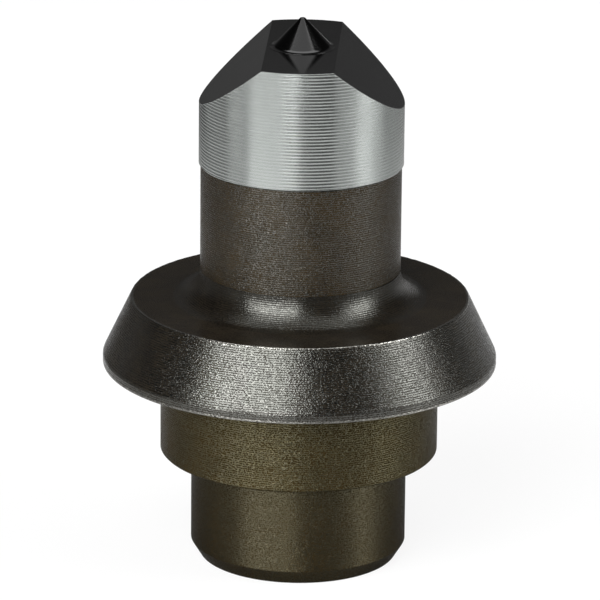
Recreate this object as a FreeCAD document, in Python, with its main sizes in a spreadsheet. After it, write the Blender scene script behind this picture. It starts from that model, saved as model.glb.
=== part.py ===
import FreeCAD, Part
import math
import os

import Sketcher

# Round punch for a portable hydraulic hole puncher, in millimetres.
#
# The punch stands on the end of its spigot, with +Z along its axis towards the cutting head. The
# origin is the middle of the spigot's end face. The flat ridge of the roof runs along Y.
#
# From the bottom up: a locating spigot with a lead-in taper, a shoulder collar, a flange whose
# conical upper side is gripped by the retaining nut, a relieved neck that springs from the flange
# with a root fillet, a cutting head ground to a roof, and a conical centre point on its ridge.
# Each section is a solid of its own, and seats face to face on the one below it.

# Driving dimensions: the name, its value in millimetres or degrees, and what it measures

SIZES = (
    ("head_diameter", 20.0, "cutting diameter, the size of the hole"),
    ("head_length", 11.8, "underside of the cutting head to the flat ridge"),
    ("head_relief", 0.175, "how far the neck stands back from the cutting land, each side"),
    ("relief_run", 0.2, "axial length of the step from the neck out to the land"),
    ("ridge_width", 6.9, "width of the flat ridge between the two slopes"),
    ("roof_angle", 40.45, "fall of each slope from level, in degrees"),
    ("point_height", 2.85, "tip of the centre point above the ridge"),
    ("point_angle", 87.0, "included angle of the centre point, in degrees"),
    ("point_tip_radius", 0.24, "flat on the blunt tip"),
    ("point_root_radius", 0.7, "fillet round the foot of the centre point"),
    ("point_foot_land", 0.03, "upright edge where that fillet runs out on the ridge"),
    ("neck_length", 13.5, "upper face of the flange to the underside of the cutting head"),
    ("root_radius", 2.9, "fillet between the flange and the neck"),
    ("flange_diameter", 38.7, "rim of the flange"),
    ("flange_face_diameter", 33.15, "flat upper face of the flange"),
    ("flange_rim", 0.85, "height of the rim's upright land"),
    ("flange_cone", 5.85, "height of the flange's conical side"),
    ("collar_diameter", 27.35, "shoulder collar"),
    ("collar_length", 9.0, "shoulder collar, down from the flange's underside"),
    ("collar_break", 0.15, "broken edge round the foot of the collar"),
    ("spigot_diameter", 21.25, "locating spigot"),
    ("spigot_length", 10.8, "locating spigot, down from the collar"),
    ("spigot_taper_depth", 0.9, "lead-in taper, inwards"),
    ("spigot_taper_length", 1.45, "lead-in taper, along the axis"),
)

# Sizes and levels that follow from them, as expressions on the spreadsheet

ON_AXIS = "0"
AT_FOOT = "0"
SPIGOT_RADIUS = "Sizes.spigot_diameter / 2"
HEAD_RADIUS = "Sizes.head_diameter / 2"
NECK_RADIUS = f"({HEAD_RADIUS} - Sizes.head_relief)"
FACE_RADIUS = "Sizes.flange_face_diameter / 2"
ROOT_RADIUS = f"min(Sizes.root_radius; {FACE_RADIUS} - {NECK_RADIUS})"
FLANGE_HEIGHT = "(Sizes.flange_rim + Sizes.flange_cone)"
COLLAR_LEVEL = "Sizes.spigot_length"
FLANGE_LEVEL = f"({COLLAR_LEVEL} + Sizes.collar_length)"
NECK_LEVEL = f"({FLANGE_LEVEL} + {FLANGE_HEIGHT} + {ROOT_RADIUS})"
HEAD_LEVEL = f"({FLANGE_LEVEL} + {FLANGE_HEIGHT} + Sizes.neck_length)"
RIDGE_LEVEL = f"({HEAD_LEVEL} + Sizes.head_length)"

START = 1
END = 2
CENTRE = 3
ORIGIN = (-1, 1)
FULL_TURN = 360.0
UPWARDS = FreeCAD.Vector(0, 0, 1)
PARTS_FOLDER = "parts"


def write_sizes(doc):
    """The spreadsheet: a row for each driving dimension, with its value, name and meaning."""
    sheet = doc.addObject("Spreadsheet::Sheet", "Sizes")
    for row, (name, value, meaning) in enumerate(SIZES, start=1):
        sheet.set(f"A{row}", str(value))
        sheet.setAlias(f"A{row}", name)
        sheet.set(f"B{row}", meaning)
    doc.recompute()


def new_body(doc, label, level):
    """An empty body, lifted to its level on the punch. It is modelled with its foot at zero."""
    body = doc.addObject("PartDesign::Body", label)
    body.Label = label
    body.setExpression("Placement.Base.z", level)
    return body


def new_sketch(body, name, plane_role):
    """A sketch on one of the body's own origin planes."""
    sketch = body.newObject("Sketcher::SketchObject", name)
    planes = [plane for plane in body.Origin.OriginFeatures if plane.Role == plane_role]
    sketch.AttachmentSupport = (planes[0], [""])
    sketch.MapMode = "FlatFace"
    return sketch


def bind(sketch, constraint, name, expression):
    """Adds a dimension to a sketch and ties it to the spreadsheet."""
    sketch.renameConstraint(sketch.addConstraint(constraint), name)
    sketch.setExpression(f"Constraints.{name}", expression)


def place(sketch, corner):
    """Where a corner lies in its sketch: across from the axis, and up from the foot."""
    name, across, up = corner
    return FreeCAD.Vector(sketch.evalExpression(across), sketch.evalExpression(up), 0)


def dimension(sketch, edge, end, corner):
    """Ties one end of an edge to its corner's distances across and up."""
    name, across, up = corner
    point = place(sketch, corner)
    bind(sketch, Sketcher.Constraint("DistanceX", *ORIGIN, edge, end, point.x), f"{name}_across", across)
    bind(sketch, Sketcher.Constraint("DistanceY", *ORIGIN, edge, end, point.y), f"{name}_up", up)


def join(sketch, first, first_end, second, second_end):
    sketch.addConstraint(Sketcher.Constraint("Coincident", first, first_end, second, second_end))


def hollow_arc(sketch, lower, upper, centre, radius, name):
    """A fillet's quarter or less, from its lowest point, under its centre, up to its inner end."""
    middle = place(sketch, centre)
    inner = place(sketch, upper) - middle
    outer = place(sketch, lower) - middle
    circle = Part.Circle(middle, UPWARDS, outer.Length)
    turn = 2 * math.pi
    first_angle = math.atan2(inner.y, inner.x) % turn
    last_angle = math.atan2(outer.y, outer.x) % turn
    arc = sketch.addGeometry(Part.ArcOfCircle(circle, first_angle, last_angle), False)
    bind(sketch, Sketcher.Constraint("Radius", arc, outer.Length), name, radius)
    return arc


def draw_outline(sketch, corners, fillet=None):
    """Closed outline through the corners in turn; a fillet replaces the edge to its upper corner."""
    edges = []
    for corner, following in zip(corners, corners[1:] + corners[:1]):
        if fillet and following[0] == fillet["upper"]:
            name = f"{following[0]}_radius"
            arc = hollow_arc(sketch, corner, following, fillet["centre"], fillet["radius"], name)
            edges.append((arc, END, START))
        else:
            line = Part.LineSegment(place(sketch, corner), place(sketch, following))
            edges.append((sketch.addGeometry(line, False), START, END))
    for (edge, near, far), (next_edge, next_near, next_far) in zip(edges, edges[1:] + edges[:1]):
        join(sketch, edge, far, next_edge, next_near)
    for (edge, near, far), corner in zip(edges, corners):
        dimension(sketch, edge, near, corner)


def turned_body(doc, label, level, corners, fillet=None):
    """A body made as on a lathe: its half outline, turned once round its own axis."""
    body = new_body(doc, label, level)
    sketch = new_sketch(body, f"{label}_outline", "XZ_Plane")
    draw_outline(sketch, corners, fillet)
    turning = body.newObject("PartDesign::Revolution", f"{label}_turning")
    turning.Profile = sketch
    turning.ReferenceAxis = (sketch, ["V_Axis"])
    turning.Angle = FULL_TURN
    doc.recompute()
    return body


def bar_body(doc, label, level, radius, length):
    """A body that starts as a length of round bar."""
    body = new_body(doc, label, level)
    sketch = new_sketch(body, f"{label}_circle", "XY_Plane")
    middle = FreeCAD.Vector(0, 0, 0)
    circle = Part.Circle(middle, UPWARDS, sketch.evalExpression(radius))
    edge = sketch.addGeometry(circle, False)
    join(sketch, edge, CENTRE, *ORIGIN)
    bind(sketch, Sketcher.Constraint("Radius", edge, circle.Radius), "bar_radius", radius)
    bar = body.newObject("PartDesign::Pad", f"{label}_bar")
    bar.Profile = sketch
    bar.setExpression("Length", length)
    doc.recompute()
    return body


def make_locating_spigot(doc):
    """Plain cylinder whose foot tapers in, so that it finds the bore of the ram."""
    corners = [
        ("foot_middle", ON_AXIS, AT_FOOT),
        ("end_face", f"{SPIGOT_RADIUS} - Sizes.spigot_taper_depth", AT_FOOT),
        ("taper_top", SPIGOT_RADIUS, "Sizes.spigot_taper_length"),
        ("side_top", SPIGOT_RADIUS, "Sizes.spigot_length"),
        ("top_middle", ON_AXIS, "Sizes.spigot_length"),
    ]
    return turned_body(doc, "locating_spigot", AT_FOOT, corners)


def make_shoulder_collar(doc):
    """Cylinder with a broken lower edge, seated on the end of the spigot."""
    radius = "Sizes.collar_diameter / 2"
    body = bar_body(doc, "shoulder_collar", COLLAR_LEVEL, radius, "Sizes.collar_length")
    bar = body.Tip
    rings = [edge for edge in bar.Shape.Edges if isinstance(edge.Curve, Part.Circle)]
    foot_ring = min(rings, key=lambda edge: edge.Curve.Center.z)
    foot_number = [edge.isSame(foot_ring) for edge in bar.Shape.Edges].index(True) + 1
    chamfer = body.newObject("PartDesign::Chamfer", "shoulder_collar_edge_break")
    chamfer.Base = (bar, [f"Edge{foot_number}"])
    chamfer.setExpression("Size", "Sizes.collar_break")
    doc.recompute()
    return body


def make_seating_flange(doc):
    """Disc with an upright rim, a conical side, a flat face and the root fillet of the neck."""
    root_across = f"{NECK_RADIUS} + {ROOT_RADIUS}"
    root_up = f"{FLANGE_HEIGHT} + {ROOT_RADIUS}"
    corners = [
        ("foot_middle", ON_AXIS, AT_FOOT),
        ("foot_rim", "Sizes.flange_diameter / 2", AT_FOOT),
        ("rim_top", "Sizes.flange_diameter / 2", "Sizes.flange_rim"),
        ("face_edge", FACE_RADIUS, FLANGE_HEIGHT),
        ("root_foot", root_across, FLANGE_HEIGHT),
        ("root_top", NECK_RADIUS, root_up),
        ("top_middle", ON_AXIS, root_up),
    ]
    root_fillet = {
        "upper": "root_top",
        "centre": ("root_centre", root_across, root_up),
        "radius": ROOT_RADIUS,
    }
    return turned_body(doc, "seating_flange", FLANGE_LEVEL, corners, root_fillet)


def make_neck(doc):
    """Relieved shank between the root fillet and the cutting head."""
    return bar_body(doc, "neck", NECK_LEVEL, NECK_RADIUS, f"Sizes.neck_length - {ROOT_RADIUS}")


def make_cutting_head(doc):
    """Ground land on the neck, cut to a roof by two slopes that leave a flat ridge along Y."""
    corners = [
        ("foot_middle", ON_AXIS, AT_FOOT),
        ("relief_foot", NECK_RADIUS, AT_FOOT),
        ("land_foot", HEAD_RADIUS, "Sizes.relief_run"),
        ("land_top", HEAD_RADIUS, "Sizes.head_length"),
        ("top_middle", ON_AXIS, "Sizes.head_length"),
    ]
    body = turned_body(doc, "cutting_head", HEAD_LEVEL, corners)
    blank = body.Tip
    roof = new_sketch(body, "roof_outline", "XZ_Plane")
    draw_outline(roof, slope_corners("right", 1))
    draw_outline(roof, slope_corners("left", -1))
    slopes = body.newObject("PartDesign::Pocket", "roof_slopes")
    slopes.Profile = roof
    slopes.Type = "ThroughAll"
    slopes.Midplane = True
    doc.recompute()
    if slopes.Shape.Volume >= blank.Shape.Volume:
        raise RuntimeError("the roof slopes cut nothing from the cutting head")
    return body


def slope_corners(name, side):
    """The waste beside the ridge: a triangle that reaches past the land by half a ridge width."""
    half_ridge = "Sizes.ridge_width / 2"
    reach = f"({HEAD_RADIUS} + {half_ridge})"
    fall = f"{HEAD_RADIUS} * tan(Sizes.roof_angle * 1 deg)"
    return [
        (f"{name}_ridge", f"{side} * {half_ridge}", "Sizes.head_length"),
        (f"{name}_low", f"{side} * {reach}", f"Sizes.head_length - {fall}"),
        (f"{name}_outside", f"{side} * {reach}", "Sizes.head_length"),
    ]


def make_centre_point(doc):
    """Cone with a blunt tip, which flows into the ridge through a small fillet."""
    half_angle = "(Sizes.point_angle / 2 * 1 deg)"
    slant = "(Sizes.point_height - Sizes.point_foot_land)"
    cone_foot = f"(Sizes.point_tip_radius + {slant} * tan{half_angle})"
    # The fillet touches the cone and the level of the foot land. That moves its lowest point out
    # from the cone's foot by its radius times the tangent of half the turn between the two.
    fillet_across = f"({cone_foot} + Sizes.point_root_radius * tan((90 deg - {half_angle}) / 2))"
    fillet_top_across = f"{fillet_across} - Sizes.point_root_radius * cos{half_angle}"
    fillet_top_up = f"Sizes.point_foot_land + Sizes.point_root_radius * (1 - sin{half_angle})"
    fillet_centre_up = "Sizes.point_foot_land + Sizes.point_root_radius"
    corners = [
        ("foot_middle", ON_AXIS, AT_FOOT),
        ("foot_edge", fillet_across, AT_FOOT),
        ("fillet_foot", fillet_across, "Sizes.point_foot_land"),
        ("fillet_top", fillet_top_across, fillet_top_up),
        ("tip_edge", "Sizes.point_tip_radius", "Sizes.point_height"),
        ("tip_middle", ON_AXIS, "Sizes.point_height"),
    ]
    foot_fillet = {
        "upper": "fillet_top",
        "centre": ("fillet_centre", fillet_across, fillet_centre_up),
        "radius": "Sizes.point_root_radius",
    }
    return turned_body(doc, "centre_point", RIDGE_LEVEL, corners, foot_fillet)


def check(doc, bodies):
    """Stops the build on a failed feature, or on a section that isn't one valid solid."""
    for item in doc.Objects:
        if "Invalid" in item.State or "Error" in item.State:
            raise RuntimeError(f"{item.Name} failed: {item.State}")
    for body in bodies:
        shape = body.Shape
        if shape.isNull() or not shape.isValid() or len(shape.Solids) != 1:
            raise RuntimeError(f"{body.Label} is not one valid solid")


def write_parts(bodies):
    """Writes each section to its own file, in its place on the punch."""
    os.makedirs(PARTS_FOLDER, exist_ok=True)
    for body in bodies:
        body.Shape.exportStep(os.path.join(PARTS_FOLDER, f"{body.Label}.step"))


def main():
    doc = FreeCAD.newDocument("round_punch")
    write_sizes(doc)
    bodies = [
        make_locating_spigot(doc),
        make_shoulder_collar(doc),
        make_seating_flange(doc),
        make_neck(doc),
        make_cutting_head(doc),
        make_centre_point(doc),
    ]
    doc.recompute()
    check(doc, bodies)
    write_parts(bodies)
    for body in bodies:
        box = body.Shape.optimalBoundingBox()
        levels = f"z {box.ZMin:.3f} to {box.ZMax:.3f}"
        print(f"{body.Label}: {levels}, width {box.XLength:.3f}, volume {body.Shape.Volume:.2f}")


main()
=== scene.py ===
import math

import bmesh
import bpy
import numpy as np
from mathutils import Matrix, Vector


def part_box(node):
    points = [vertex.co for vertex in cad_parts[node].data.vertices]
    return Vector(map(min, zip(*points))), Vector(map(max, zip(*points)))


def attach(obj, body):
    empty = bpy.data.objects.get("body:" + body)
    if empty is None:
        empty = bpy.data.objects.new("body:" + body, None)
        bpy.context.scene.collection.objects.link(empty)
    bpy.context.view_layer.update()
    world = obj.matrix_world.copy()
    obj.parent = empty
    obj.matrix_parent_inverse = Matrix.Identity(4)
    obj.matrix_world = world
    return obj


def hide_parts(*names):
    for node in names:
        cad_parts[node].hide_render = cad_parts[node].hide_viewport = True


bl_info = {
    "name": "Round punch finish",
    "version": (1, 0, 0),
    "blender": (4, 5, 0),
    "location": "3D View > Sidebar > Punch",
    "description": "Turned, ground and oxidised surfaces for a round punch, and its photo stage",
    "category": "Object",
}

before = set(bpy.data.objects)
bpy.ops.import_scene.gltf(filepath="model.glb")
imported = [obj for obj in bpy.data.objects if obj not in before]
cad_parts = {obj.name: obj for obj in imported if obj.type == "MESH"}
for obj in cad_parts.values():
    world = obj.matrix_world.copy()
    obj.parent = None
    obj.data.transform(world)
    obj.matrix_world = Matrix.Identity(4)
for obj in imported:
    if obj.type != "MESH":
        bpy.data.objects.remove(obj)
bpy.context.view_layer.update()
MM = 0.001
NEAR = 0.01 * MM

RING_ROWS = 6  # rows of points for each tool ring on the dark sections
LAND_RING_ROWS = 8  # the same on the bright land
SEAM_STEP = 2 * MM  # spacing of points beside a seam, under the next section
HIDDEN_STEP = 1 * MM  # spacing of points on the faces inside the punch
NICKS = (0.014 * MM, 0.14 * MM)  # depth and width of the nicks at the flange's face
DENTS = (0.010 * MM, 0.10 * MM)  # depth and width of the dents over its rim
BARE_STEEL = (0.40, 0.39, 0.36)
HEAD_ON = 0.058  # share of the light that a gloss with a tint of one mirrors head-on
CARDS = {"lowest": -8, "highest": 6, "distance": 0.18}  # the cards stand close, low on the table


# What the frame says of each section, in metres from the axis and from the bench

def rings_of(node):
    """Distance from the axis and level of every corner of a CAD node's mesh."""
    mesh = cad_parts[node].data
    places = np.empty(len(mesh.vertices) * 3)
    mesh.vertices.foreach_get("co", places)
    places = places.reshape(-1, 3)
    return np.hypot(places[:, 0], places[:, 1]), places[:, 2]


def radius_at(node, level):
    """The widest ring of a node at a level."""
    radii, levels = rings_of(node)
    return float(radii[np.abs(levels - level) < NEAR].max())


def levels_at(node, radius):
    """Lowest and highest level at which a node has a ring of that radius."""
    radii, levels = rings_of(node)
    found = levels[np.abs(radii - radius) < NEAR]
    return float(found.min()), float(found.max())


def foot_of(node):
    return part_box(node)[0].z


def top_of(node):
    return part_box(node)[1].z


def width_of(node):
    return float(rings_of(node)[0].max())


def flange_face():
    """Radius and level of the edge of the flange's flat face, where one level has many radii."""
    radii, levels = rings_of("seating_flange")
    steps = np.unique(levels.round(6))
    spreads = [np.ptp(radii[np.abs(levels - step) < NEAR]) for step in steps]
    level = float(steps[int(np.argmax(spreads))])
    return radius_at("seating_flange", level), level


def roof_shape():
    """Half width of the flat ridge, and how far a slope falls for each metre out from it."""
    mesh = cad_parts["cutting_head"].data
    places = np.array([vertex.co for vertex in mesh.vertices])
    top = places[:, 2].max()
    ridge = np.abs(places[np.abs(places[:, 2] - top) < NEAR][:, 0]).max()
    outermost = np.abs(places[:, 0]).max()
    low = places[np.abs(np.abs(places[:, 0]) - outermost) < NEAR][:, 2].max()
    return float(ridge), float((top - low) / (outermost - ridge))


def point_cone():
    """Radius at which the centre point's straight side would meet its foot land, and its slope."""
    radii, levels = rings_of("centre_point")
    tip_level = levels.max()
    tip_radius = radii[np.abs(levels - tip_level) < NEAR].max()
    below = levels < tip_level - NEAR
    next_level = levels[below].max()
    next_radius = radii[np.abs(levels - next_level) < NEAR].max()
    slope = (next_radius - tip_radius) / (tip_level - next_level)
    land_level = levels_at("centre_point", radii.max())[1]
    return float(tip_radius + slope * (tip_level - land_level)), float(slope)


class PunchSizes(bpy.types.PropertyGroup):
    """Finish sizes and colours that a user would change."""

    edge_break: bpy.props.FloatProperty(
        name="Edge break", description="Round on the turned edges",
        default=0.06 * MM, unit="LENGTH", precision=6)
    witness: bpy.props.FloatProperty(
        name="Witness line", description="Round where two sections of one diameter meet",
        default=0.02 * MM, unit="LENGTH", precision=6)
    land_feed: bpy.props.FloatProperty(
        name="Land feed", description="Distance between the tool rings on the cutting land",
        default=0.32 * MM, unit="LENGTH", precision=6)
    land_depth: bpy.props.FloatProperty(
        name="Land ring depth", description="Depth of the tool rings on the cutting land",
        default=0.0125 * MM, unit="LENGTH", precision=6)
    body_feed: bpy.props.FloatProperty(
        name="Body feed", description="Distance between the tool rings on the dark sections",
        default=0.22 * MM, unit="LENGTH", precision=6)
    body_depth: bpy.props.FloatProperty(
        name="Body ring depth", description="Depth of the tool rings on the dark sections",
        default=0.007 * MM, unit="LENGTH", precision=6)
    columns: bpy.props.IntProperty(
        name="Columns", description="Faces round each turned section", default=200, min=24)
    grain: bpy.props.FloatProperty(
        name="Grain", description="Height of the fine bumps of the oxide",
        default=0.055 * MM, unit="LENGTH", precision=6)
    oxide: bpy.props.FloatVectorProperty(
        name="Oxide", description="Body colour of the brown oxide",
        default=(0.0170, 0.0105, 0.0040), subtype="COLOR", size=3)
    flange_oxide: bpy.props.FloatVectorProperty(
        name="Flange oxide", description="Body colour of the oxide on the flange",
        default=(0.0105, 0.0080, 0.0056), subtype="COLOR", size=3)
    neck_gloss: bpy.props.FloatVectorProperty(
        name="Neck gloss", description="Tint of the gloss on the neck",
        default=(1.27, 1.22, 1.07), subtype="COLOR", size=3)
    flange_gloss: bpy.props.FloatVectorProperty(
        name="Flange gloss", description="Tint of the gloss on the flange",
        default=(1.05, 1.07, 0.98), subtype="COLOR", size=3)
    collar_gloss: bpy.props.FloatVectorProperty(
        name="Collar gloss", description="Tint of the gloss on the collar",
        default=(1.44, 1.27, 0.67), subtype="COLOR", size=3)
    spigot_gloss: bpy.props.FloatVectorProperty(
        name="Spigot gloss", description="Tint of the gloss on the spigot",
        default=(1.33, 1.17, 0.70), subtype="COLOR", size=3)
    black_oxide: bpy.props.FloatVectorProperty(
        name="Black oxide", description="Body colour of the oxide on the roof and the centre point",
        default=(0.0010, 0.0010, 0.0010), subtype="COLOR", size=3)
    bright: bpy.props.FloatVectorProperty(
        name="Bright steel", description="Bare turned steel of the cutting land",
        default=(0.445, 0.470, 0.454), subtype="COLOR", size=3)


class PunchStage(bpy.types.PropertyGroup):
    """Where the camera stands and how the lamps light the punch."""

    camera_distance: bpy.props.FloatProperty(
        name="Distance", description="From the axis to the camera, along the bench",
        default=519.2 * MM, unit="LENGTH")
    camera_height: bpy.props.FloatProperty(
        name="Height", description="Camera above the bench", default=194.5 * MM, unit="LENGTH")
    camera_turn: bpy.props.FloatProperty(
        name="Turn", description="Camera round from the ridge's line",
        default=0.05, subtype="ANGLE")
    camera_pitch: bpy.props.FloatProperty(
        name="Pitch", description="Camera down from level", default=0.31384, subtype="ANGLE")
    camera_roll: bpy.props.FloatProperty(
        name="Roll", description="Camera turned about its own line of sight",
        default=0.00967, subtype="ANGLE")
    lens: bpy.props.FloatProperty(
        name="Lens", description="Focal length in millimetres", default=333.77, subtype="NONE")
    key_light: bpy.props.FloatProperty(
        name="Key", description="Brightness of the left softbox, where white is one", default=12.5)
    side_light: bpy.props.FloatProperty(
        name="Side", description="Brightness of the right softbox", default=8.0)
    top_light: bpy.props.FloatProperty(
        name="Top", description="Brightness of the overhead softbox", default=1.4)
    glow: bpy.props.FloatProperty(
        name="Glow", description="Brightness of the low light round the table", default=1.0)
    card: bpy.props.FloatProperty(
        name="Card", description="Brightness of the white cards on the table", default=1.0)


# Mesh building: every piece is a grid of points worked out as whole arrays

def put_mesh(name, points, faces_of_grid):
    """A mesh object from an array of points and an array of four-cornered faces."""
    mesh = bpy.data.meshes.new(name)
    mesh.vertices.add(len(points))
    mesh.vertices.foreach_set("co", points.astype(np.float32).ravel())
    corners = faces_of_grid.shape[1]
    mesh.loops.add(faces_of_grid.size)
    mesh.loops.foreach_set("vertex_index", faces_of_grid.astype(np.int32).ravel())
    mesh.polygons.add(len(faces_of_grid))
    starts = np.arange(len(faces_of_grid), dtype=np.int32) * corners
    mesh.polygons.foreach_set("loop_start", starts)
    mesh.update(calc_edges=True)
    mesh.polygons.foreach_set("use_smooth", np.full(len(faces_of_grid), True))
    made = bpy.data.objects.new(name, mesh)
    bpy.context.scene.collection.objects.link(made)
    return made


def weld(made):
    """Joins corners that lie on each other, which closes seams and poles, and drops empty faces."""
    work = bmesh.new()
    work.from_mesh(made.data)
    bmesh.ops.remove_doubles(work, verts=work.verts, dist=1e-8)
    work.to_mesh(made.data)
    work.free()
    made.data.update()
    return made


def grid_faces(rows, columns):
    """Corner numbers of the faces between neighbouring rows and columns of a grid of points."""
    number = np.arange(rows * columns).reshape(rows, columns)
    corners = [number[:-1, :-1], number[:-1, 1:], number[1:, 1:], number[1:, :-1]]
    return np.stack(corners, -1).reshape(-1, 4)


def straight_run(start, end, step):
    """Points from start up to, but not on, end: one step apart, with a close pair at each end."""
    length = float(np.hypot(*(end - start)))
    inner = np.linspace(0, 1, max(2, int(math.ceil(length / step)) + 1))
    support = min(0.2, 0.02 * MM / max(length, NEAR))
    shares = np.unique(np.concatenate([inner, [support, 1 - support]]))[:-1]
    return start + shares[:, None] * (end - start)


def rounded_outline(corners):
    """Half outline through (radius, level, round, step) corners, from the axis round to the axis.

    Each corner is eased by an arc of its own round, which touches both of its edges at the round
    times the tangent of half the turn. The step is the spacing of points on the edge that follows.
    """
    places = np.array([corner[:2] for corner in corners], float)
    rounds = [corner[2] for corner in corners]
    steps = [corner[3] for corner in corners]
    rows = []
    start = places[0]
    for i in range(1, len(corners)):
        place = places[i]
        if i == len(corners) - 1:
            rows.append(straight_run(start, place, steps[i - 1]))
            rows.append(place[None])
            break
        arrive = (place - places[i - 1]) / np.hypot(*(place - places[i - 1]))
        leave = (places[i + 1] - place) / np.hypot(*(places[i + 1] - place))
        turn = math.atan2(arrive[0] * leave[1] - arrive[1] * leave[0], float(arrive @ leave))
        reach = rounds[i] * math.tan(abs(turn) / 2)
        first = place - reach * arrive
        last = place + reach * leave
        rows.append(straight_run(start, first, steps[i - 1]))
        side = math.copysign(1, turn)
        centre = first + rounds[i] * side * np.array([-arrive[1], arrive[0]])
        parts = max(4, int(math.ceil(rounds[i] * abs(turn) / steps[i])))
        angles = np.linspace(0, turn, parts + 1)[:-1]
        spoke = first - centre
        rows.append(centre + np.stack([
            spoke[0] * np.cos(angles) - spoke[1] * np.sin(angles),
            spoke[0] * np.sin(angles) + spoke[1] * np.cos(angles)], -1))
        start = last
    return np.concatenate(rows)


def outline_normals(outline):
    """Outward normals of an outline that runs from the foot outwards, up and back to the axis."""
    along = np.gradient(outline, axis=0)
    along /= np.maximum(np.hypot(along[:, 0], along[:, 1]), 1e-12)[:, None]
    return np.stack([along[:, 1], -along[:, 0]], -1)


def tool_rings(distance, angle, feed, depth, seed):
    """How far the tool cut in: a scallop for each turn of a helix along the surface.

    The phase is distance over feed plus the share of a turn, and each scallop is a parabola, four
    times its phase times one less its phase. Its depth wanders along the surface from 0.8 to 1.2.
    """
    phase = distance / feed + angle / (2 * math.pi)
    share = phase - np.floor(phase)
    random = np.random.default_rng(seed)
    turns = int(np.max(distance) / feed) + 3
    wander = random.uniform(0.8, 1.2, turns)
    return -depth * np.interp(distance / feed, np.arange(turns), wander) * 4 * share * (1 - share)


def wavy(angle, seed, lowest, highest, waves=24):
    """A smooth wave round the axis, about one high: sines of random whole counts and phases."""
    random = np.random.default_rng(seed)
    counts = random.integers(lowest, highest, waves)
    phases = random.uniform(0, 2 * math.pi, waves)
    return np.sin(angle[..., None] * counts + phases).sum(-1) / math.sqrt(waves)


def edge_marks(angle, seed, depth, width, off):
    """Dips round an edge: a wave below nothing, times a bell curve of the distance off the edge."""
    return (wavy(angle, seed, 40, 400) * depth - depth) * np.exp(-(off / width) ** 2)


def turned_piece(name, corners, relief):
    """A surface of revolution whose relief, a function of distance along and angle, is outwards.

    A point is (radius cos angle, radius sin angle, level), with radius and level moved along the
    outline's normal by the relief. Its rows carry their distance along in the attribute "along".
    """
    columns = bpy.context.scene.punch_sizes.columns
    outline = rounded_outline(corners)
    steps = np.hypot(*np.diff(outline, axis=0).T)
    distance = np.concatenate([[0], np.cumsum(steps)])
    angle = np.linspace(0, 2 * math.pi, columns + 1)
    shift = relief(distance[:, None], outline[:, :1], outline[:, 1:], angle[None, :])
    shift = np.broadcast_to(shift, (len(outline), columns + 1)).copy()
    shift[:, -1] = shift[:, 0]
    normals = outline_normals(outline)
    fade = np.clip(outline[:, 0] / (0.3 * MM), 0, 1)[:, None]
    radius = np.maximum(outline[:, :1] + normals[:, :1] * shift * fade, 0)
    radius[outline[:, 0] < 1e-9] = 0
    level = outline[:, 1:] + normals[:, 1:] * shift * fade
    turn = angle.copy()
    turn[-1] = 0
    points = np.stack([radius * np.cos(turn), radius * np.sin(turn), level + 0 * turn], -1)
    made = put_mesh(name, points.reshape(-1, 3), grid_faces(len(outline), columns + 1))
    along = made.data.attributes.new("along", "FLOAT", "POINT")
    along.data.foreach_set("value", np.repeat(distance / MM, columns + 1).astype(np.float32))
    return weld(made)


# Shader maths

class Term:
    """A shader value: the usual operators on it add Math nodes."""

    def __init__(self, recipe, socket):
        self.recipe = recipe
        self.socket = socket

    def math(self, operation, *values):
        """A Math node on values, which need not hold this one."""
        inputs = dict(enumerate(values))
        return self.recipe.node("ShaderNodeMath", {"operation": operation}, inputs)

    def __add__(self, other):
        return self.math("ADD", self, other)

    def __radd__(self, other):
        return self.math("ADD", other, self)

    def __sub__(self, other):
        return self.math("SUBTRACT", self, other)

    def __rsub__(self, other):
        return self.math("SUBTRACT", other, self)

    def __mul__(self, other):
        return self.math("MULTIPLY", self, other)

    def __rmul__(self, other):
        return self.math("MULTIPLY", other, self)

    def __truediv__(self, other):
        return self.math("DIVIDE", self, other)

    def __rtruediv__(self, other):
        return self.math("DIVIDE", other, self)

    def __abs__(self):
        return self.math("ABSOLUTE", self)

    def higher(self, other):
        return self.math("MAXIMUM", self, other)

    def cosine(self):
        return self.math("COSINE", self)

    def bearing(self, across):
        """The angle of a point that is this far up and that far across."""
        return self.math("ARCTAN2", self, across)

    def ramp(self, low, high):
        """0 at low, 1 at high, and a smooth step between them. Low may be above high."""
        settings = {"interpolation_type": "SMOOTHSTEP"}
        return self.recipe.node("ShaderNodeMapRange", settings, {0: self, 1: low, 2: high})


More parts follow.
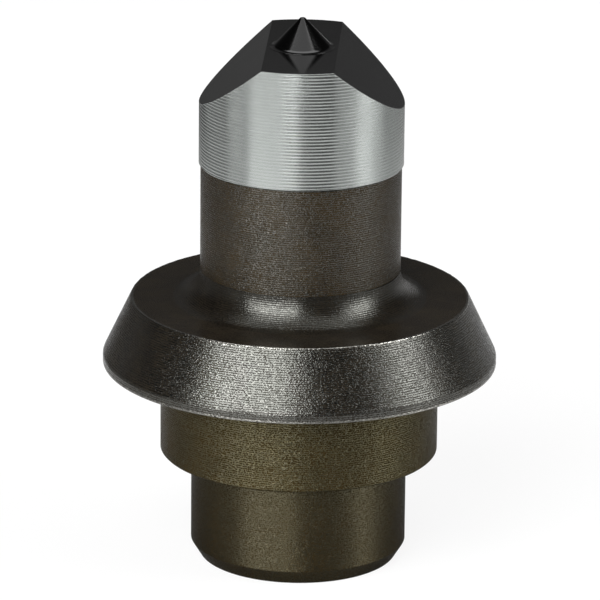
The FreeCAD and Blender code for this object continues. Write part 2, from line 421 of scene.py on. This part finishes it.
class Recipe:
    """One material's node tree, with short ways to add what its surface needs."""

    def __init__(self, name="", tree=None):
        self.tree = tree
        if tree is None:
            self.material = bpy.data.materials.new(name)
            self.material.use_nodes = True
            self.tree = self.material.node_tree
        self.tree.nodes.clear()

    def node(self, kind, settings=None, inputs=None, output=0):
        """Adds a node: its settings first, then the values or links of its sockets."""
        made = self.tree.nodes.new(kind)
        for name, value in (settings or {}).items():
            setattr(made, name, value)
        for socket, value in (inputs or {}).items():
            if isinstance(value, Term):
                self.tree.links.new(value.socket, made.inputs[socket])
            else:
                made.inputs[socket].default_value = value
        return Term(self, made.outputs[output]) if len(made.outputs) else made

    def place(self):
        """Object coordinates in millimetres, as three values."""
        coordinates = self.node("ShaderNodeTexCoord", output="Object")
        parts = self.node("ShaderNodeSeparateXYZ", inputs={0: coordinates}).socket.node
        return [Term(self, parts.outputs[i]) / MM for i in range(3)]

    def vector(self, x, y, z):
        return self.node("ShaderNodeCombineXYZ", inputs={0: x, 1: y, 2: z})

    def noise(self, vector, scale, detail=3.0, roughness=0.5):
        inputs = {"Vector": vector, "Scale": scale, "Detail": detail, "Roughness": roughness}
        return self.node("ShaderNodeTexNoise", inputs=inputs)

    def light_path(self, output):
        return self.node("ShaderNodeLightPath", output=output)

    def attribute(self, name):
        return self.node("ShaderNodeAttribute", {"attribute_name": name}, output="Fac")

    def mix(self, share, first, second):
        """A colour between two, by a share from 0 to 1."""
        settings = {"data_type": "RGBA"}
        inputs = {0: share, 6: colour_of(first), 7: colour_of(second)}
        return self.node("ShaderNodeMix", settings, inputs, output=2)

    def bump(self, height, distance):
        """A Bump node for a height from 0 to 1, whose 1 stands up by distance, in metres."""
        return self.node("ShaderNodeBump", inputs={"Height": height, "Distance": distance})

    def principled(self, inputs):
        return self.node("ShaderNodeBsdfPrincipled", inputs=inputs)

    def blend(self, share, first, second):
        """A shader between two, by a share from 0 to 1."""
        return self.node("ShaderNodeMixShader", inputs={0: share, 1: first, 2: second})

    def finish(self, shader):
        """Ends the tree in this shader."""
        self.node("ShaderNodeOutputMaterial", inputs={"Surface": shader})
        return self.material


def colour_of(value):
    """A colour for a socket: a link as it is, or three numbers made opaque."""
    return value if isinstance(value, Term) else (*value, 1.0)


def from_axis(x, y):
    """Distance from the axis, kept above nothing so that it can divide."""
    square = x * x + y * y
    return square.math("SQRT", square).higher(0.01)


def turned_grain(recipe, along, out_x, out_y, fineness, stretch):
    """Noise that varies quickly along the surface and slowly round it, as a lathe leaves it."""
    vector = recipe.vector(out_x * stretch, out_y * stretch, along * fineness)
    return recipe.noise(vector, 1.0, detail=4.0, roughness=0.6)


def oxide_steel(name, albedo, tint, feed, grain, pitting, ringing, roughness=0.20, sheen=0.7,
                edges=(), corners=(), smooth=()):
    """Hardened steel under a thin oxide: a glossy skin, broken by matt pits of the oxide's brown.

    albedo is the colour of the oxide's body, which shows in the pits, and tint the colour of the
    gloss. grain is the height of the bumps and feed the distance between the tool rings, both in
    metres. pitting, from 0 to 1, is how much the pits hide the gloss, and ringing how much they
    gather in the grooves. sheen is how much the gloss mirrors at a glancing angle. edges lists
    distances along the outline, in millimetres, where the oxide is rubbed off to bare steel, each
    with a share and a reach. corners lists levels, in metres, near which the surface is made fully
    matt and dark: painted shade in the corner under the next section up.
    Between the two distances of smooth the surface is finer.
    """
    recipe = Recipe(name)
    x, y, z = recipe.place()
    along = recipe.attribute("along")
    position = recipe.vector(x, y, z)
    coarse = recipe.noise(recipe.vector(x * 0.8, y * 0.8, z * 1.3), 9.0, detail=0.0)
    fine = recipe.noise(recipe.vector(x * 0.9, y * 0.9, z * 1.2), 8.5, detail=0.0)
    mottle = recipe.noise(position, 0.3, detail=4.0, roughness=0.6)
    patch = recipe.noise(position, 0.6, detail=2.0) * 0.12 - 0.06

    turns = along * (MM / feed) + y.bearing(x) / (2 * math.pi)
    groove = (turns * (2 * math.pi)).cosine() * 0.5
    pits_and_corner_shade = (fine + patch + groove * ringing).ramp(0.51, 0.55)
    height = coarse * 0.8 + fine.ramp(0.42, 0.28) * 0.25
    rough = mottle * 0.08 + (roughness - 0.04)
    if smooth:
        first, last = smooth
        before = along.ramp(first + 0.1, first)
        after = along.ramp(last, last + 0.5)
        coarser = before.higher(after * 0.45) * 0.9 + 0.1
        finer = 1.0 - coarser
        pits_and_corner_shade = pits_and_corner_shade * coarser + finer * finer * 0.9
        height = height * coarser
        rough = rough + finer * 0.04
    # Painted shade: near each level in corners the surface turns fully matt and dark, as in the
    # shaded corner under the section above.
    for level in corners:
        pits_and_corner_shade = pits_and_corner_shade.higher(abs(z - level / MM).ramp(0.22, 0.10))

    bare = fine.ramp(0.40, 0.30) * (pitting * 0.10)
    ragged = coarse * 0.5 + fine * 0.3 - 0.40
    for edge, share, reach in edges:
        worn = (abs(along - edge) - ragged).ramp(0.14 + reach, 0.06 + reach)
        bare = bare.higher(worn * share)

    lighter = [c * f for c, f in zip(albedo, (1.5, 1.5, 1.35))]
    normal = recipe.bump(height, grain)
    gloss = recipe.principled({
        "Base Color": recipe.mix(bare, [c * HEAD_ON for c in tint], BARE_STEEL),
        "Metallic": 1.0,
        "Roughness": rough,
        "Specular Tint": (sheen, sheen, sheen, 1.0),
        "Normal": normal,
    })
    pit = recipe.principled({
        "Base Color": recipe.mix(mottle.ramp(0.35, 0.68), albedo, lighter),
        "Roughness": 0.6,
        "IOR": 1.15,
        "Specular Tint": (*tint, 1.0),
        "Normal": normal,
    })
    return recipe.finish(recipe.blend(pits_and_corner_shade * (1.0 - bare) * pitting, gloss, pit))


def bright_steel(name, bright, albedo, ridge, fall, top):
    """Bare turned land under an oxidised roof, told apart by the distance below the roof's faces.

    bright and albedo are the colours of the land and of the roof. ridge is half the width of the
    flat ridge and top its level, both in metres, and fall how far a slope drops for each metre out.
    """
    recipe = Recipe(name)
    x, y, z = recipe.place()
    radius = from_axis(x, y)
    position = recipe.vector(x, y, z)
    beyond = (abs(x) - ridge / MM).higher(0.0)
    below = top / MM - beyond * fall - z
    grain = turned_grain(recipe, z, x / radius, y / radius, 9.0, 3.0)
    patches = recipe.noise(position, 0.4, detail=3.0)
    specks = recipe.noise(position, 9.0, detail=2.0)
    ragged = recipe.noise(position, 2.6, detail=4.0, roughness=0.7) * 0.05
    land = (below - ragged).ramp(0.005, 0.03)
    steel = recipe.mix(patches.ramp(0.3, 0.7), bright, [c * 0.94 for c in bright])
    base = recipe.mix(land, albedo, steel)
    rough = land * (patches * 0.06 + 0.20) + (1.0 - land) * (patches * 0.04 + 0.10)
    normal = recipe.bump(land * (grain * 0.7 + specks * 0.15), 0.002 * MM)
    return recipe.finish(recipe.principled({
        "Base Color": base,
        "Metallic": land,
        "Roughness": rough,
        "IOR": 1.47,
        "Normal": normal,
    }))


def add_piece(made, material, node):
    """Gives a piece its material, and lets it stand for a section of the frame."""
    made.data.materials.append(material)
    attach(made, "root")
    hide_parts(node)


def section_corners(node, sizes):
    """Corners of a round section: its foot, its taper or broken edge, its wall and its top."""
    radius = width_of(node)
    foot, top = foot_of(node), top_of(node)
    step = sizes.body_feed / RING_ROWS
    return [
        (0, foot, 0, HIDDEN_STEP),
        (radius_at(node, foot), foot, sizes.edge_break, step),
        (radius, levels_at(node, radius)[0], sizes.edge_break, step),
        (radius, top, sizes.witness, SEAM_STEP),
        (0, top, 0, HIDDEN_STEP),
    ]


def plain_relief(sizes, seed):
    """The relief of a section that has only its tool rings."""
    def relief(distance, out, level, angle):
        return tool_rings(distance, angle, sizes.body_feed, sizes.body_depth, seed)

    return relief


class PUNCH_OT_spigot(bpy.types.Operator):
    """Add the locating spigot, with its lead-in taper"""

    bl_idname = "punch.spigot"
    bl_label = "Locating spigot"

    def execute(self, context):
        sizes = context.scene.punch_sizes
        node = "locating_spigot"
        corners = section_corners(node, sizes)
        made = turned_piece("turned_spigot", corners, plain_relief(sizes, 11))
        # corners paints shade at the spigot's top, in the corner under the collar.
        material = oxide_steel("oxide_spigot", tuple(sizes.oxide), tuple(sizes.spigot_gloss),
                               sizes.body_feed, sizes.grain * 0.5, pitting=0.6, ringing=0.12,
                               corners=[top_of(node)])
        add_piece(made, material, node)
        return {"FINISHED"}


class PUNCH_OT_collar(bpy.types.Operator):
    """Add the shoulder collar"""

    bl_idname = "punch.collar"
    bl_label = "Shoulder collar"

    def execute(self, context):
        sizes = context.scene.punch_sizes
        node = "shoulder_collar"
        corners = section_corners(node, sizes)
        made = turned_piece("turned_collar", corners, plain_relief(sizes, 12))
        # corners paints shade at the collar's top, in the corner under the flange.
        material = oxide_steel("oxide_collar", tuple(sizes.oxide), tuple(sizes.collar_gloss),
                               sizes.body_feed, sizes.grain * 0.7, pitting=0.95, ringing=0.24,
                               corners=[top_of(node)])
        add_piece(made, material, node)
        return {"FINISHED"}


class PUNCH_OT_flange(bpy.types.Operator):
    """Add the seating flange, with its cone, its flat face and the root fillet"""

    bl_idname = "punch.flange"
    bl_label = "Seating flange"

    def execute(self, context):
        sizes = context.scene.punch_sizes
        node = "seating_flange"
        rim = width_of(node)
        foot, top = foot_of(node), top_of(node)
        rim_top = levels_at(node, rim)[1]
        face_radius, face_level = flange_face()
        neck = radius_at(node, top)
        step = sizes.body_feed / RING_ROWS
        corners = [
            (0, foot, 0, SEAM_STEP),
            (rim, foot, sizes.edge_break * 2, step),
            (rim, rim_top, sizes.edge_break * 8, step),
            (face_radius, face_level, sizes.edge_break * 2, step),
            (neck, face_level, top - face_level - sizes.witness, step),
            (neck, top, sizes.witness, SEAM_STEP),
            (0, top, 0, HIDDEN_STEP),
        ]

        def relief(distance, out, level, angle):
            rings = tool_rings(distance, angle, sizes.body_feed, sizes.body_depth, 13)
            in_fillet = np.clip((level - face_level) / (0.2 * MM), 0, 1) * (out < face_radius)
            on_face = (out < face_radius - NEAR) * (1 - in_fillet)
            rings = rings * (1 + 2.2 * in_fillet - 0.6 * on_face)
            nicks = edge_marks(angle, 5, *NICKS, np.hypot(out - face_radius, level - face_level))
            dents = edge_marks(angle, 6, *DENTS, np.hypot(out - rim, level - rim_top))
            return rings + nicks + dents

        made = turned_piece("turned_flange", corners, relief)
        rim_foot = rim / MM
        rim_edge = (rim + rim_top - foot) / MM
        edge = rim_edge + math.hypot(rim - face_radius, face_level - rim_top) / MM
        fillet = edge + (face_radius - neck - top + face_level) / MM
        worn = [(edge, 0.9, 0.0), (0.5 * (rim_edge + rim_foot), 0.14, 0.32), (rim_foot, 0.9, 0.03)]
        material = oxide_steel("oxide_flange", tuple(sizes.flange_oxide),
                               tuple(sizes.flange_gloss), sizes.body_feed, sizes.grain * 0.46,
                               pitting=0.86, ringing=0.30, roughness=0.16, sheen=1.0,
                               edges=worn, smooth=(edge, fillet))
        add_piece(made, material, node)
        return {"FINISHED"}


class PUNCH_OT_neck(bpy.types.Operator):
    """Add the relieved neck"""

    bl_idname = "punch.neck"
    bl_label = "Neck"

    def execute(self, context):
        sizes = context.scene.punch_sizes
        node = "neck"
        radius = width_of(node)
        foot, top = foot_of(node), top_of(node)
        corners = [
            (0, foot, 0, HIDDEN_STEP),
            (radius, foot, sizes.witness, sizes.body_feed / RING_ROWS),
            (radius, top, sizes.witness, SEAM_STEP),
            (0, top, 0, HIDDEN_STEP),
        ]
        made = turned_piece("turned_neck", corners, plain_relief(sizes, 14))
        material = oxide_steel("oxide_neck", tuple(sizes.oxide), tuple(sizes.neck_gloss),
                               sizes.body_feed, sizes.grain * 0.7, pitting=0.85, ringing=0.40)
        add_piece(made, material, node)
        return {"FINISHED"}


class PUNCH_OT_head(bpy.types.Operator):
    """Add the cutting head: a bright land with tool rings under a dark roof"""

    bl_idname = "punch.head"
    bl_label = "Cutting head"

    def execute(self, context):
        sizes = context.scene.punch_sizes
        node = "cutting_head"
        radius = width_of(node)
        foot, top = foot_of(node), top_of(node)
        neck = radius_at(node, foot)
        land_foot = levels_at(node, radius)[0]
        ridge, fall = roof_shape()
        made = roofed_head(radius, neck, foot, land_foot, top, ridge, fall, sizes)
        material = bright_steel("land_and_roof", tuple(sizes.bright), tuple(sizes.black_oxide),
                                ridge, fall, top)
        add_piece(made, material, node)
        return {"FINISHED"}


def roofed_head(radius, neck, foot, land_foot, top, ridge, fall, sizes):
    """The head as slices side by side across the ridge, each a closed path in a plane along Y.

    A slice at angle a stands at x = radius cos a. Its path goes up the front wall, at y = minus
    radius sin a, eases over the edge, crosses the roof along Y, comes down the back wall and
    returns under the foot. The roof's level at x is the top less fall times what |x| is beyond
    the ridge. Wall rows above the roof are brought down to it, so that tool rings stay level.
    """
    ease = sizes.edge_break * 0.6
    inner = radius - ease
    offsets = np.array([-0.08, -0.03, 0, 0.03, 0.08]) * MM
    creases = np.concatenate([np.arccos((side * ridge + offsets) / inner) for side in (1, -1)])
    angles = np.unique(np.concatenate([np.linspace(0, math.pi, 145), creases]))[::-1, None]

    def roof_level(x):
        return top - fall * np.maximum(np.abs(x) - ridge, 0)

    rows = np.arange(land_foot + NEAR, top, sizes.land_feed / LAND_RING_ROWS)
    step_rows = np.array([0, 0.5, 1.0]) * (land_foot - foot) + foot
    levels = np.concatenate([step_rows, rows])
    wall_radius = np.interp(levels, [foot, land_foot], [neck, radius])
    limit = roof_level(inner * np.cos(angles)) - ease
    level = np.minimum(levels[None, :], limit)
    out = np.broadcast_to(wall_radius[None, :], level.shape)

    def wall(sign):
        turn = angles * sign
        patches = wavy(turn + level / (40 * MM), 3 + sign, 2, 30)
        rings = tool_rings(level, turn, sizes.land_feed, sizes.land_depth, 21)
        rings = rings * np.interp(level, [land_foot, top], [0.6, 1.3]) * (1 + 0.3 * patches)
        rings = rings * ring_share(np.degrees(turn) + 90)
        fade = np.clip((level - land_foot) / (0.1 * MM), 0, 1)
        fade = fade * np.clip((limit - level) / (0.05 * MM), 0, 1)
        reach = out + rings * fade
        return np.stack([reach * np.cos(turn), reach * np.sin(turn), level], -1)

    def edge(sign):
        turn = angles * sign
        bend = np.linspace(0, math.pi / 2, 6)[None, 1:-1]
        reach = inner + ease * np.cos(bend)
        height = roof_level(inner * np.cos(angles)) - ease * (1 - np.sin(bend))
        return np.stack([reach * np.cos(turn), reach * np.sin(turn), height], -1)

    across = inner * np.cos(angles)
    half = inner * np.sin(angles)
    support = np.minimum(0.03 * MM, half * 0.2)
    shares = np.linspace(-1, 1, 13)[None, :]
    y = np.concatenate([-half, (half - support) * shares, half], axis=1)
    flat = np.stack([across + 0 * y, y, roof_level(across) + 0 * y], -1)
    under_y = wall(1)[:, :1, 1:2] * np.linspace(1, -1, 9)[None, 1:-1, None]
    under = np.concatenate([wall(1)[:, :1, :1] + 0 * under_y, under_y, foot + 0 * under_y], -1)
    path = np.concatenate([
        wall(-1), edge(-1), flat, edge(1)[:, ::-1], wall(1)[:, ::-1], under, wall(-1)[:, :1],
    ], axis=1)
    slices, stops = path.shape[:2]
    made = put_mesh("ground_head", path.reshape(-1, 3), grid_faces(slices, stops))
    return weld(made)


def ring_share(direction):
    """How deep the land's rings are, by the direction in degrees from the front of the ridge.

    As in the photo, they are deep right of the middle and faint on either side of that. The share
    runs evenly from one of these places to the next, all the way round.
    """
    places = [-90, -70, -38, -29, -10, -3, 8, 20, 33, 42, 90, 180, 270]
    shares = [1.0, 1.3, 1.4, 0.2, 0.2, 1.3, 1.9, 1.5, 0.9, 0.25, 0.6, 0.8, 1.0]
    return np.interp(direction, places, shares)


class PUNCH_OT_point(bpy.types.Operator):
    """Add the centre point"""

    bl_idname = "punch.point"
    bl_label = "Centre point"

    def execute(self, context):
        sizes = context.scene.punch_sizes
        node = "centre_point"
        foot, top = foot_of(node), top_of(node)
        foot_radius = width_of(node)
        land = levels_at(node, foot_radius)[1]
        cone_radius, slope = point_cone()
        half_angle = math.atan(slope)
        root = (foot_radius - cone_radius) / math.tan((math.pi / 2 - half_angle) / 2)
        step = 0.03 * MM
        corners = [
            (0, foot, 0, HIDDEN_STEP),
            (foot_radius, foot, 0, step),
            (foot_radius + 0.001 * MM, land, 0, step),
            (cone_radius, land, root * 0.995, step),
            (radius_at(node, top), top, 0.12 * MM, 0.1 * MM),
            (0, top, 0, 0.1 * MM),
        ]

        def relief(distance, out, level, angle):
            rings = tool_rings(distance, angle, 0.14 * MM, 0.0015 * MM, 31)
            return rings * np.clip((distance / MM - 3.6) / 0.3, 0, 1)

        made = turned_piece("turned_point", corners, relief)
        material = oxide_steel("oxide_point", tuple(sizes.black_oxide), (1.0, 1.0, 1.0),
                               sizes.body_feed, grain=0.0, pitting=0.0, ringing=0.0,
                               roughness=0.12, sheen=1.0)
        add_piece(made, material, node)
        return {"FINISHED"}


class PUNCH_OT_stage(bpy.types.Operator):
    """Add the floor, the dim curtain that glows with painted light, the lamps and the camera"""

    bl_idname = "punch.stage"
    bl_label = "Stage"

    def execute(self, context):
        stage = context.scene.punch_stage
        make_camera(stage)
        make_world()
        make_floor()
        make_curtain()
        middle = 0.5 * (foot_of("locating_spigot") + top_of("centre_point"))
        boxes = (  # name, azimuth, half turn, lowest and highest angle, brightness
            ("key", -28.5, 28.5, 16, 38, stage.key_light),
            ("key, upper half", -28.5, 28.5, 38, 60, stage.key_light * 0.5),
            ("side", 79, 9, 14, 51, stage.side_light),
            ("side, wide", 76, 20, 14, 51, stage.side_light * 0.35),
            ("rear", 180, 30, 17, 45, stage.glow * 0.11),
            ("low under the key", -28.5, 28.5, 0, 15, stage.glow * 1.3),
        )
        for name, azimuth, half_turn, lowest, highest, brightness in boxes:
            softbox(name, middle, azimuth, half_turn, brightness, lowest, highest)
        cards = (  # name, azimuth, half turn, share of the cards' brightness
            ("card before the key", -33, 20, 0.45),
            ("card before the side", 82, 20, 1.25),
            ("card at the right", 50, 10, 0.5),
            ("left card", -69, 15, 0.7),
            ("far left card", -109, 20, 0.20),
            ("back card", 135, 36, 0.6),
        )
        for name, azimuth, half_turn, share in cards:
            softbox(name, middle, azimuth, half_turn, stage.card * share, **CARDS)
        overhead("top", middle, -29, 29, -9, 24, stage.top_light)
        context.scene.view_settings.view_transform = "Standard"
        return {"FINISHED"}


def make_camera(stage):
    """The camera: round from the ridge's line, back, up, and pitched down at the punch."""
    data = bpy.data.cameras.new("camera")
    data.sensor_width = 36.0
    data.lens = stage.lens
    data.clip_start = 0.01
    camera = bpy.data.objects.new("camera", data)
    bpy.context.scene.collection.objects.link(camera)
    turn = stage.camera_turn
    camera.location = (
        stage.camera_distance * math.sin(turn),
        -stage.camera_distance * math.cos(turn),
        stage.camera_height,
    )
    camera.rotation_mode = "QUATERNION"
    aim = Matrix.Rotation(turn, 4, "Z") @ Matrix.Rotation(math.pi / 2 - stage.camera_pitch, 4, "X")
    aim = aim @ Matrix.Rotation(stage.camera_roll, 4, "Z")
    camera.rotation_quaternion = aim.to_quaternion()
    bpy.context.scene.camera = camera


def make_world():
    """White to the camera and to glossy and transmitted rays, and dim as a light."""
    world = bpy.data.worlds.new("studio")
    bpy.context.scene.world = world
    world.use_nodes = True
    recipe = Recipe(tree=world.node_tree)
    seen = recipe.light_path("Is Camera Ray").higher(recipe.light_path("Is Glossy Ray"))
    seen = seen.higher(recipe.light_path("Is Transmission Ray"))
    light = {"Color": (1, 1, 1, 1), "Strength": seen * 0.9 + 0.1}
    shader = recipe.node("ShaderNodeBackground", inputs=light)
    recipe.node("ShaderNodeOutputWorld", inputs={"Surface": shader})


def make_curtain():
    """A dim curtain round the table, which the metal mirrors and the camera looks through; it glows
    with painted light, brighter towards the floor as if lit from the table.

    Its outline is an upright line, from under the floor to above the lamps, carried round the axis.
    """
    outline = np.array([(1.5, -0.05), (1.5, 2.5)])
    radius, level = outline[:, :1], outline[:, 1:]
    angle = np.linspace(0, 2 * math.pi, 65)
    points = np.stack([radius * np.cos(angle), radius * np.sin(angle), level + 0 * angle], -1)
    curtain = put_mesh("curtain", points.reshape(-1, 3), grid_faces(*points.shape[:2])[:, ::-1])
    weld(curtain)
    recipe = Recipe("curtain_painted_glow")
    z = recipe.place()[2]
    # Painted light: the curtain's own glow rises towards the floor, as if the lit table shone on
    # it.
    painted_spill_glow = recipe.mix(z.ramp(600.0, 0.0), (0.03, 0.03, 0.03), (0.12, 0.12, 0.12))
    shader = recipe.node("ShaderNodeEmission", inputs={"Color": painted_spill_glow, "Strength": 1.0})
    curtain.data.materials.append(recipe.finish(shader))
    curtain.visible_camera = False


def make_floor():
    """A round white table top under the punch, with a painted shadow round its foot, on a floor
    that is white only for the camera.
    """
    angle = np.linspace(0, 2 * math.pi, 97)
    radius = np.linspace(0, 3.0, 13)[:, None]
    points = np.stack([radius * np.cos(angle), radius * np.sin(angle), 0 * radius * angle], -1)
    points[..., 2] = foot_of("locating_spigot") - 0.02 * MM
    floor = put_mesh("floor", points.reshape(-1, 3), grid_faces(*points.shape[:2])[:, ::-1])
    weld(floor)
    recipe = Recipe("white_floor")
    x, y, z = recipe.place()
    away = from_axis(x, y)
    # Painted shadow: the table top is darker within 70 mm of the axis and darkest inside 20 mm, as
    # if shaded by the punch.
    painted_shadow_round_foot = recipe.mix(away.ramp(70.0, 20.0), (0.6, 0.6, 0.6), (0.2, 0.2, 0.2))
    mirrored = recipe.principled({
        "Base Color": recipe.mix(away.ramp(195.0, 75.0), (0.03, 0.03, 0.03), painted_shadow_round_foot),
        "Roughness": 0.2,
        "IOR": 1.3,
        "Coat Weight": away.ramp(95.0, 50.0) * 0.5,
        "Coat Roughness": 0.2,
        "Coat IOR": 1.5,
    })
    shaded = recipe.node("ShaderNodeBsdfDiffuse", inputs={"Color": (0.8, 0.8, 0.8, 1)})
    white = recipe.node("ShaderNodeEmission", inputs={"Color": (1, 1, 1, 1), "Strength": 1.0})
    seen = recipe.blend(0.86, shaded, white)
    shader = recipe.blend(recipe.light_path("Is Camera Ray"), mirrored, seen)
    floor.data.materials.append(recipe.finish(shader))


def softbox(name, middle, azimuth, half_turn, brightness, lowest, highest, distance=1.0):
    """An upright softbox that spans these angles, as seen from the middle of the punch.

    A point at the side angle s stands at distance times tan s out from its centre line, and one at
    the height angle e at distance times tan e above the middle of the punch.
    """
    turn = math.radians(azimuth)
    low, high = (math.tan(math.radians(angle)) for angle in (lowest, highest))
    back = Vector((math.sin(turn), -math.cos(turn), 0))
    side = Vector((math.cos(turn), math.sin(turn), 0))
    up = Vector((0, 0, 1))
    width = 2 * distance * math.tan(math.radians(half_turn))
    centre = back * distance + up * (middle + distance * (low + high) / 2)
    lamp(name, centre, (side, up, back), width, distance * (high - low), brightness)


def overhead(name, middle, left, right, front, back, brightness):
    """A flat softbox a metre up, between four angles from straight overhead."""
    west, east, near, far = (math.tan(math.radians(angle)) for angle in (left, right, front, back))
    centre = Vector(((west + east) / 2, (near + far) / 2, 1.0 + middle))
    axes = (Vector((1, 0, 0)), Vector((0, 1, 0)), Vector((0, 0, 1)))
    lamp(name, centre, axes, east - west, far - near, brightness)


def lamp(name, centre, axes, width, height, brightness):
    """An area lamp that shines against its third axis.

    Its power is its brightness times pi times its area, so that its face is as bright as asked.
    """
    data = bpy.data.lights.new(name, "AREA")
    data.shape = "RECTANGLE"
    data.size = width
    data.size_y = height
    data.energy = brightness * math.pi * width * height
    made = bpy.data.objects.new(name, data)
    bpy.context.scene.collection.objects.link(made)
    made.location = centre
    made.rotation_mode = "QUATERNION"
    made.rotation_quaternion = Matrix(axes).transposed().to_quaternion()
    made.visible_camera = False


class PUNCH_PT_panel(bpy.types.Panel):
    """Lists the punch's pieces, sizes and stage"""

    bl_label = "Round punch"
    bl_idname = "PUNCH_PT_panel"
    bl_space_type = "VIEW_3D"
    bl_region_type = "UI"
    bl_category = "Punch"

    def draw(self, context):
        layout = self.layout
        for name in PunchSizes.__annotations__:
            layout.prop(context.scene.punch_sizes, name)
        for name in PunchStage.__annotations__:
            layout.prop(context.scene.punch_stage, name)
        for operator in OPERATORS:
            layout.operator(operator.bl_idname)


OPERATORS = (
    PUNCH_OT_spigot, PUNCH_OT_collar, PUNCH_OT_flange, PUNCH_OT_neck, PUNCH_OT_head, PUNCH_OT_point,
    PUNCH_OT_stage,
)
CLASSES = (PunchSizes, PunchStage, *OPERATORS, PUNCH_PT_panel)


def register():
    for one in CLASSES:
        bpy.utils.register_class(one)
    bpy.types.Scene.punch_sizes = bpy.props.PointerProperty(type=PunchSizes)
    bpy.types.Scene.punch_stage = bpy.props.PointerProperty(type=PunchStage)


def unregister():
    del bpy.types.Scene.punch_stage
    del bpy.types.Scene.punch_sizes
    for one in reversed(CLASSES):
        bpy.utils.unregister_class(one)


def main():
    register()
    bpy.ops.punch.spigot()
    bpy.ops.punch.collar()
    bpy.ops.punch.flange()
    bpy.ops.punch.neck()
    bpy.ops.punch.head()
    bpy.ops.punch.point()
    bpy.ops.punch.stage()


if __name__ == "__main__":
    main()
